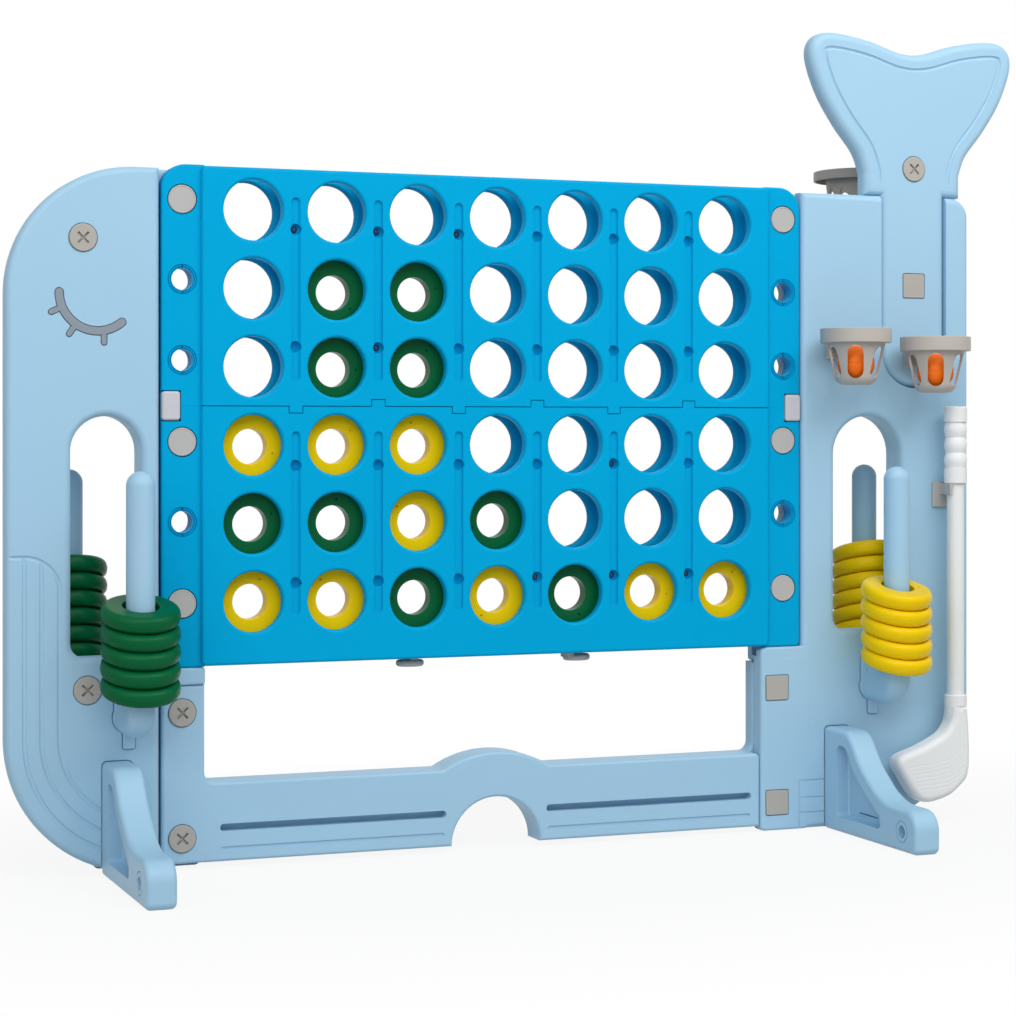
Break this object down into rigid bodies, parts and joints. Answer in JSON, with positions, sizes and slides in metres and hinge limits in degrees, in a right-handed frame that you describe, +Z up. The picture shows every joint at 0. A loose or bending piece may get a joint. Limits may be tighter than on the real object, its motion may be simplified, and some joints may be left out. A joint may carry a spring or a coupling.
{
  "type": "giant four in a row",
  "caption": "Whale-shaped giant four-in-a-row stand with rings in a board, ring pegs, ball cups, a hoop and a toy hockey stick; a bar under the board slides to let the rings fall.",
  "frame": {"origin": "on the ground, under the middle of the set's bounding box", "axes": "+X along the board towards the tail, -Y out of the front, +Z up"},
  "size_m": [1.2984, 0.4906, 1.002],
  "materials": {
    "sky_blue_plastic": "satin blow-moulded plastic",
    "board_blue_plastic": "semi-gloss moulded plastic",
    "green_ring_plastic": "glossy moulded plastic",
    "yellow_ring_plastic": "glossy moulded plastic",
    "grey_fitting_plastic": "satin moulded plastic",
    "warm_grey_plastic": "satin moulded plastic",
    "eye_grey_plastic": "satin moulded plastic",
    "orange_ball_plastic": "thin moulded plastic",
    "white_stick_plastic": "semi-gloss moulded plastic"
  },
  "bodies": {
    "frame": {"upper_front_board": "board_blue_plastic", "upper_back_board": "board_blue_plastic", "lower_front_board": "board_blue_plastic", "lower_back_board": "board_blue_plastic", "head_seam_clip": "grey_fitting_plastic", "body_seam_clip": "grey_fitting_plastic", "head_side_panel": "sky_blue_plastic", "body_side_panel": "sky_blue_plastic", "tail_backboard": "sky_blue_plastic", "base_crossbar": "sky_blue_plastic", "front_head_foot": "sky_blue_plastic", "rear_head_foot": "sky_blue_plastic", "front_body_foot": "sky_blue_plastic", "rear_body_foot": "sky_blue_plastic", "front_head_peg": "sky_blue_plastic", "rear_head_peg": "sky_blue_plastic", "front_body_peg": "sky_blue_plastic", "rear_body_peg": "sky_blue_plastic", "head_bolt": "grey_fitting_plastic", "peg_bolt": "grey_fitting_plastic", "hoop_bolt": "grey_fitting_plastic", "stem_bolt": "grey_fitting_plastic", "upper_head_leg_bolt": "grey_fitting_plastic", "lower_head_leg_bolt": "grey_fitting_plastic", "upper_body_leg_bolt": "grey_fitting_plastic", "lower_body_leg_bolt": "grey_fitting_plastic", "inner_ball_cup": "warm_grey_plastic", "outer_ball_cup": "warm_grey_plastic", "basket_hoop": "warm_grey_plastic", "stick_hanger": "grey_fitting_plastic", "sleepy_eye": "eye_grey_plastic"},
    "release_bar": {"release_bar": "grey_fitting_plastic"},
    "stick": {"stick_grip": "white_stick_plastic", "stick_shaft": "white_stick_plastic", "stick_blade": "white_stick_plastic"},
    "inner_ball": {"inner_ball": "orange_ball_plastic"},
    "outer_ball": {"outer_ball": "orange_ball_plastic"},
    "front_head_ring_pile": {"front_head_ring_pile": "green_ring_plastic"},
    "rear_head_ring_pile": {"rear_head_ring_pile": "green_ring_plastic"},
    "front_body_ring_pile": {"front_body_ring_pile": "yellow_ring_plastic"},
    "rear_body_ring_pile": {"rear_body_ring_pile": "yellow_ring_plastic"},
    "ring_row6_column1": {"ring_row6_column1": "yellow_ring_plastic"},
    "ring_row6_column2": {"ring_row6_column2": "yellow_ring_plastic"},
    "ring_row6_column3": {"ring_row6_column3": "green_ring_plastic"},
    "ring_row6_column4": {"ring_row6_column4": "yellow_ring_plastic"},
    "ring_row6_column5": {"ring_row6_column5": "green_ring_plastic"},
    "ring_row6_column6": {"ring_row6_column6": "yellow_ring_plastic"},
    "ring_row6_column7": {"ring_row6_column7": "yellow_ring_plastic"},
    "ring_row5_column1": {"ring_row5_column1": "green_ring_plastic"},
    "ring_row5_column2": {"ring_row5_column2": "green_ring_plastic"},
    "ring_row5_column3": {"ring_row5_column3": "yellow_ring_plastic"},
    "ring_row5_column4": {"ring_row5_column4": "green_ring_plastic"},
    "ring_row4_column1": {"ring_row4_column1": "yellow_ring_plastic"},
    "ring_row4_column2": {"ring_row4_column2": "yellow_ring_plastic"},
    "ring_row4_column3": {"ring_row4_column3": "yellow_ring_plastic"},
    "ring_row3_column2": {"ring_row3_column2": "green_ring_plastic"},
    "ring_row3_column3": {"ring_row3_column3": "green_ring_plastic"},
    "ring_row2_column2": {"ring_row2_column2": "green_ring_plastic"},
    "ring_row2_column3": {"ring_row2_column3": "green_ring_plastic"}
  },
  "joints": [
    {"name": "release_bar_slide", "type": "slide", "parent": "frame", "child": "release_bar", "axis": [1, 0, 0], "range_m": [0, 0.05]},
    {"name": "stick_pull", "type": "slide", "parent": "frame", "child": "stick", "axis": [0, -1, 0], "range_m": [0, 0.12]},
    {"name": "inner_ball_lift", "type": "slide", "parent": "frame", "child": "inner_ball", "axis": [0, 0, 1], "range_m": [0, 0.1]},
    {"name": "outer_ball_lift", "type": "slide", "parent": "frame", "child": "outer_ball", "axis": [0, 0, 1], "range_m": [0, 0.1]},
    {"name": "front_head_ring_pile_lift", "type": "slide", "parent": "frame", "child": "front_head_ring_pile", "axis": [0, 0, 1], "range_m": [0, 0.26]},
    {"name": "rear_head_ring_pile_lift", "type": "slide", "parent": "frame", "child": "rear_head_ring_pile", "axis": [0, 0, 1], "range_m": [0, 0.26]},
    {"name": "front_body_ring_pile_lift", "type": "slide", "parent": "frame", "child": "front_body_ring_pile", "axis": [0, 0, 1], "range_m": [0, 0.24]},
    {"name": "rear_body_ring_pile_lift", "type": "slide", "parent": "frame", "child": "rear_body_ring_pile", "axis": [0, 0, 1], "range_m": [0, 0.26]},
    {"name": "ring_row6_column1_lift", "type": "slide", "parent": "frame", "child": "ring_row6_column1", "axis": [0, 0, 1], "range_m": [0, 0.55]},
    {"name": "ring_row6_column2_lift", "type": "slide", "parent": "frame", "child": "ring_row6_column2", "axis": [0, 0, 1], "range_m": [0, 0.55]},
    {"name": "ring_row6_column3_lift", "type": "slide", "parent": "frame", "child": "ring_row6_column3", "axis": [0, 0, 1], "range_m": [0, 0.55]},
    {"name": "ring_row6_column4_lift", "type": "slide", "parent": "frame", "child": "ring_row6_column4", "axis": [0, 0, 1], "range_m": [0, 0.55]},
    {"name": "ring_row6_column5_lift", "type": "slide", "parent": "frame", "child": "ring_row6_column5", "axis": [0, 0, 1], "range_m": [0, 0.55]},
    {"name": "ring_row6_column6_lift", "type": "slide", "parent": "frame", "child": "ring_row6_column6", "axis": [0, 0, 1], "range_m": [0, 0.55]},
    {"name": "ring_row6_column7_lift", "type": "slide", "parent": "frame", "child": "ring_row6_column7", "axis": [0, 0, 1], "range_m": [0, 0.55]},
    {"name": "ring_row5_column1_lift", "type": "slide", "parent": "ring_row6_column1", "child": "ring_row5_column1", "axis": [0, 0, 1], "range_m": [0, 0.461]},
    {"name": "ring_row5_column2_lift", "type": "slide", "parent": "ring_row6_column2", "child": "ring_row5_column2", "axis": [0, 0, 1], "range_m": [0, 0.461]},
    {"name": "ring_row5_column3_lift", "type": "slide", "parent": "ring_row6_column3", "child": "ring_row5_column3", "axis": [0, 0, 1], "range_m": [0, 0.461]},
    {"name": "ring_row5_column4_lift", "type": "slide", "parent": "ring_row6_column4", "child": "ring_row5_column4", "axis": [0, 0, 1], "range_m": [0, 0.461]},
    {"name": "ring_row4_column1_lift", "type": "slide", "parent": "ring_row5_column1", "child": "ring_row4_column1", "axis": [0, 0, 1], "range_m": [0, 0.371]},
    {"name": "ring_row4_column2_lift", "type": "slide", "parent": "ring_row5_column2", "child": "ring_row4_column2", "axis": [0, 0, 1], "range_m": [0, 0.371]},
    {"name": "ring_row4_column3_lift", "type": "slide", "parent": "ring_row5_column3", "child": "ring_row4_column3", "axis": [0, 0, 1], "range_m": [0, 0.371]},
    {"name": "ring_row3_column2_lift", "type": "slide", "parent": "ring_row4_column2", "child": "ring_row3_column2", "axis": [0, 0, 1], "range_m": [0, 0.282]},
    {"name": "ring_row3_column3_lift", "type": "slide", "parent": "ring_row4_column3", "child": "ring_row3_column3", "axis": [0, 0, 1], "range_m": [0, 0.282]},
    {"name": "ring_row2_column2_lift", "type": "slide", "parent": "ring_row3_column2", "child": "ring_row2_column2", "axis": [0, 0, 1], "range_m": [0, 0.192]},
    {"name": "ring_row2_column3_lift", "type": "slide", "parent": "ring_row3_column3", "child": "ring_row2_column3", "axis": [0, 0, 1], "range_m": [0, 0.192]}
  ]
}
